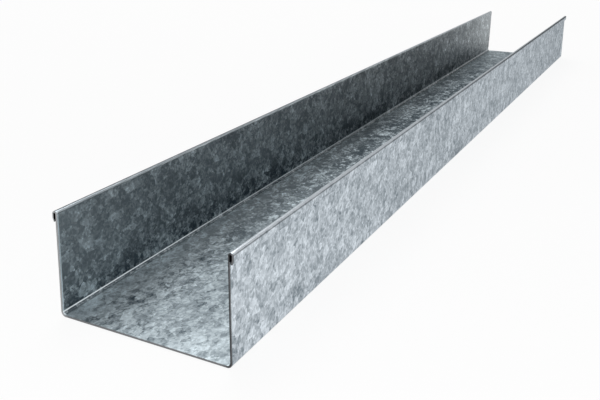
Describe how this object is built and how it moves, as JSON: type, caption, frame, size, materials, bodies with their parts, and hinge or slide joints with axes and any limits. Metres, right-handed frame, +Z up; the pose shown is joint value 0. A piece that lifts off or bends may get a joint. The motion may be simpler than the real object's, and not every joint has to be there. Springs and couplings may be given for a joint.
{
  "type": "deflection head track",
  "caption": "Deep-flange head track for a drywall partition: a plain steel channel whose toed-in flanges end in outward-folded hems and let the studs slide.",
  "frame": {"origin": "middle of the web's underside, halfway along the track", "axes": "+X along the track, +Y across the web, +Z up the flanges; the track lies on its web, open side up"},
  "size_m": [0.83, 0.098, 0.054],
  "materials": {
    "galvanised_steel": "dull hot-dip zinc with a feathery spangle of a few millimetres"
  },
  "bodies": {
    "root": {"head_track": "galvanised_steel"}
  },
  "joints": []
}
